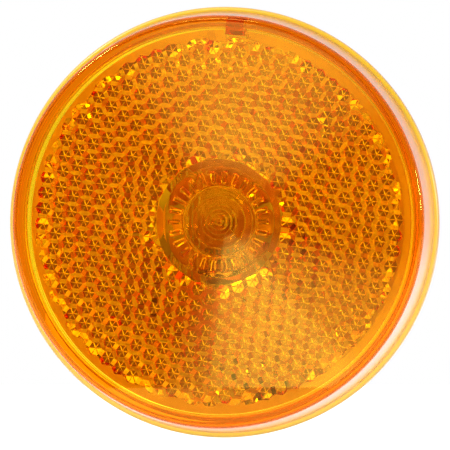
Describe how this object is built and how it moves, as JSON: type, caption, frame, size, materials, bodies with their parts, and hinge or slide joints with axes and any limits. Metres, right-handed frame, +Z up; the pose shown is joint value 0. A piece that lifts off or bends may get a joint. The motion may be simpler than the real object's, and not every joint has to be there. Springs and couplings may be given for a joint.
{
  "type": "marker lamp",
  "caption": "Round sealed amber marker lamp with a prismatic reflex lens, a mounting flange and a recessed rear connector.",
  "frame": {"origin": "on the lamp's axis, in the plane of the flange's rear face, where the mounting grommet holds it", "axes": "-Y out of the lens along the lamp's axis, +Y out of the connector, +Z up with the bulb upright"},
  "size_m": [0.0636, 0.03, 0.0636],
  "materials": {
    "amber_lens": "clear amber, polished moulding",
    "housing_plastic": "white, fine moulded",
    "holder_plastic": "white, moulded",
    "seal_epoxy": "milky cured epoxy bead",
    "bulb_glass": "clear",
    "brass": "satin, drawn",
    "spring_steel": "zinc plated",
    "nickel_wire": "drawn wire",
    "tungsten": "dark coil",
    "weld_metal": "fused",
    "rubber": "matte"
  },
  "bodies": {
    "root": {"lens": "amber_lens", "housing": "housing_plastic", "rim_seal": "seal_epoxy", "bulb_glass": "bulb_glass", "filament": "tungsten", "glass_bridge": "bulb_glass", "bulb_holder": "holder_plastic", "shock_bobbin": "rubber", "terminal_left": "brass", "terminal_seal_left": "rubber", "contact_strip_left": "brass", "push_nut_left": "spring_steel", "filament_post_left": "nickel_wire", "lead_wire_left": "nickel_wire", "weld_spot_left": "weld_metal", "terminal_right": "brass", "terminal_seal_right": "rubber", "contact_strip_right": "brass", "push_nut_right": "spring_steel", "filament_post_right": "nickel_wire", "lead_wire_right": "nickel_wire", "weld_spot_right": "weld_metal"}
  },
  "joints": []
}
